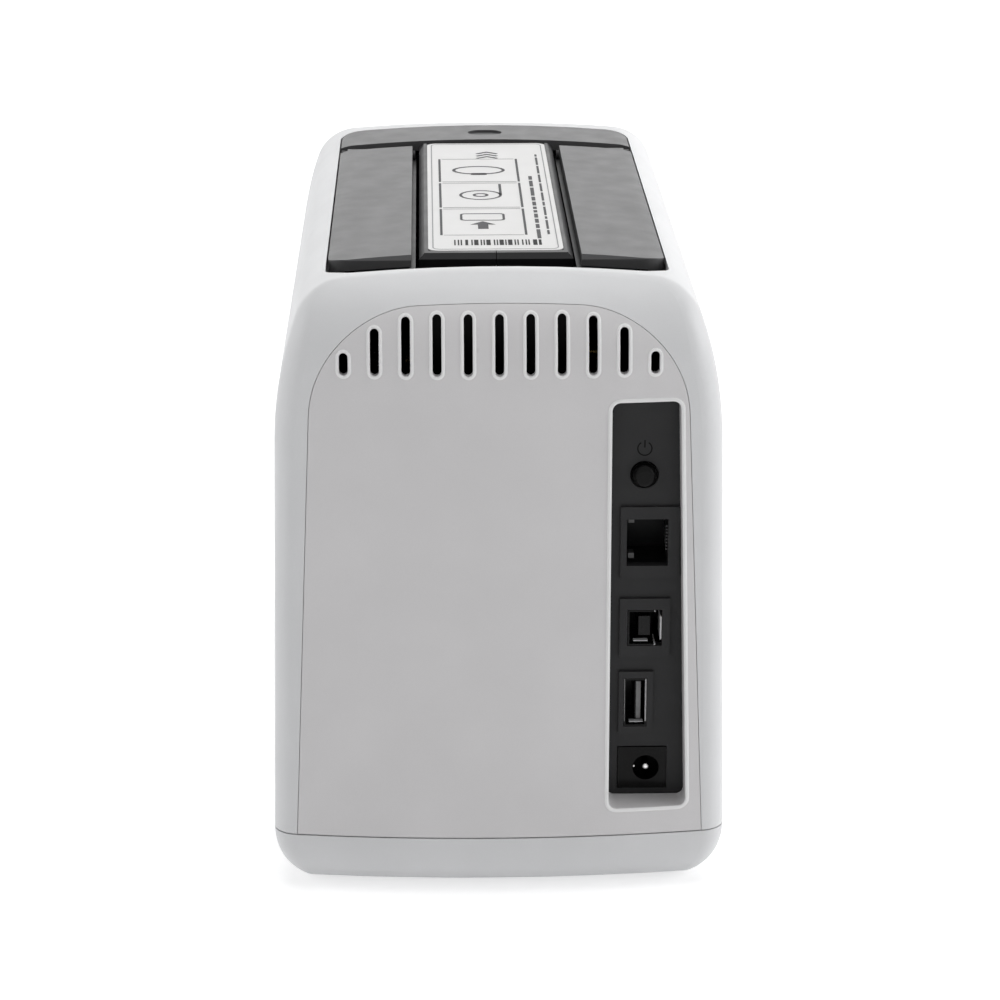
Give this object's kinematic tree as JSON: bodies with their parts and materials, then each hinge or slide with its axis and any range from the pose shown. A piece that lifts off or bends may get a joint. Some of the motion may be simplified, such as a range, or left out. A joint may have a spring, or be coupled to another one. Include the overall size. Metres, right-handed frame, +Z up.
{
  "type": "label printer",
  "caption": "Desktop wristband label printer with a drop-in cartridge between hinged covers, a vented rear panel and a recessed column of connectors.",
  "frame": {"origin": "on the surface it stands on, under the middle of its bounding box", "axes": "+Z up, -Y towards the front where the band comes out, +Y towards the connectors, +X towards the printer's left side as seen from behind"},
  "size_m": [0.1264, 0.241, 0.1755],
  "materials": {
    "housing_white": "fine satin moulding",
    "rear_grey": "fine satin moulding",
    "cover_grey": "satin moulding",
    "plate_dark": "satin moulding",
    "black_plastic": "satin moulding",
    "gloss_black": "gloss",
    "button_grey": "satin moulding",
    "light_pipe": "clear gloss",
    "label_paper": "matt paper",
    "band_white": "satin film",
    "core_card": "matt card",
    "steel": "brushed",
    "screw_steel": "zinc plated",
    "spring_steel": "drawn wire",
    "aluminium": "milled",
    "ceramic": "glazed",
    "brass": "turned",
    "rubber": "matt",
    "gear_plastic": "acetal",
    "motor_case": "black paint",
    "board_green": "solder mask",
    "chip_black": "moulded"
  },
  "bodies": {
    "printer": {"main_housing": "housing_white", "base_pan": "housing_white", "rear_panel": "rear_grey", "front_bridge": "cover_grey", "front_panel": "cover_grey", "io_plate": "plate_dark", "cartridge_bay": "black_plastic", "exit_chute": "black_plastic", "ethernet_socket": "black_plastic", "dc_power_socket": "black_plastic", "power_switch": "black_plastic", "band_sensor": "black_plastic", "status_lights": "light_pipe", "left_side_plate": "steel", "right_side_plate": "steel", "spring_beam": "steel", "idler_stud": "steel", "head_pivot_shaft": "steel", "tear_bar": "steel", "left_hinge_pin": "steel", "right_hinge_pin": "steel", "usb_a_socket": "steel", "usb_b_socket": "steel", "base_screws": "screw_steel", "board_screws": "screw_steel", "bay_screws": "screw_steel", "plate_screws": "screw_steel", "motor_screws": "screw_steel", "head_springs": "spring_steel", "board_standoffs": "brass", "platen_bushings": "brass", "rubber_feet": "rubber", "drive_motor": "motor_case", "main_board": "board_green", "button_board": "board_green", "board_components": "chip_black"},
    "left_cover": {"left_cover": "cover_grey"},
    "right_cover": {"right_cover": "cover_grey"},
    "cartridge": {"cartridge_left_shell": "black_plastic", "cartridge_right_shell": "black_plastic", "cartridge_label": "label_paper", "roll_spindle": "black_plastic", "band_tail": "band_white"},
    "roll": {"roll_core": "core_card", "band_roll": "band_white"},
    "platen": {"platen_shaft": "steel", "platen_rubber": "rubber", "platen_gear": "gear_plastic"},
    "idler": {"idler_gear": "gear_plastic"},
    "motor_rotor": {"motor_shaft": "steel", "motor_pinion": "gear_plastic"},
    "head": {"head_bracket": "steel", "print_head": "ceramic", "head_heatsink": "aluminium"},
    "power_button": {"power_button": "gloss_black"},
    "pause_button": {"pause_button": "button_grey"},
    "feed_button": {"feed_button": "button_grey"}
  },
  "joints": [
    {"name": "left_cover_hinge", "type": "hinge", "parent": "printer", "child": "left_cover", "pos_m": [0.03442, -0.0685, 0.17023], "axis": [1, 0, 0], "range_deg": [0, 75]},
    {"name": "right_cover_hinge", "type": "hinge", "parent": "printer", "child": "right_cover", "pos_m": [-0.03442, -0.0685, 0.17023], "axis": [1, 0, 0], "range_deg": [0, 75]},
    {"name": "cartridge_lift", "type": "slide", "parent": "printer", "child": "cartridge", "axis": [0, 0, 1], "range_m": [0, 0.14]},
    {"name": "roll_spin", "type": "hinge", "parent": "cartridge", "child": "roll", "pos_m": [0, 0.008, 0.104], "axis": [1, 0, 0], "continuous": true},
    {"name": "platen_spin", "type": "hinge", "parent": "printer", "child": "platen", "pos_m": [0.0335, -0.092, 0.0963], "axis": [1, 0, 0], "continuous": true},
    {"name": "idler_spin", "type": "hinge", "parent": "printer", "child": "idler", "pos_m": [0.0335, -0.08714, 0.06872], "axis": [1, 0, 0], "continuous": true},
    {"name": "motor_spin", "type": "hinge", "parent": "printer", "child": "motor_rotor", "pos_m": [0.0335, -0.09019, 0.05139], "axis": [1, 0, 0], "continuous": true},
    {"name": "head_pivot", "type": "hinge", "parent": "printer", "child": "head", "pos_m": [0, -0.079, 0.12], "axis": [-1, 0, 0], "range_deg": [0, 8], "stiffness_Nm_per_rad": 0.6, "springref_deg": -11.46, "deforming": ["head_springs"]},
    {"name": "power_button_push", "type": "slide", "parent": "printer", "child": "power_button", "axis": [0, -1, 0], "range_m": [0, 0.0012], "stiffness_N_per_m": 500, "springref_m": -0.0005},
    {"name": "pause_button_push", "type": "slide", "parent": "printer", "child": "pause_button", "axis": [0, 1, 0], "range_m": [0, 0.0008], "stiffness_N_per_m": 500, "springref_m": -0.0005},
    {"name": "feed_button_push", "type": "slide", "parent": "printer", "child": "feed_button", "axis": [0, 1, 0], "range_m": [0, 0.0008], "stiffness_N_per_m": 500, "springref_m": -0.0005}
  ],
  "couplings": [
    {"joint": "platen_spin", "follows": "roll_spin", "ratio": -7.375},
    {"joint": "idler_spin", "follows": "roll_spin", "ratio": 9.8333},
    {"joint": "motor_spin", "follows": "roll_spin", "ratio": -21.071}
  ]
}
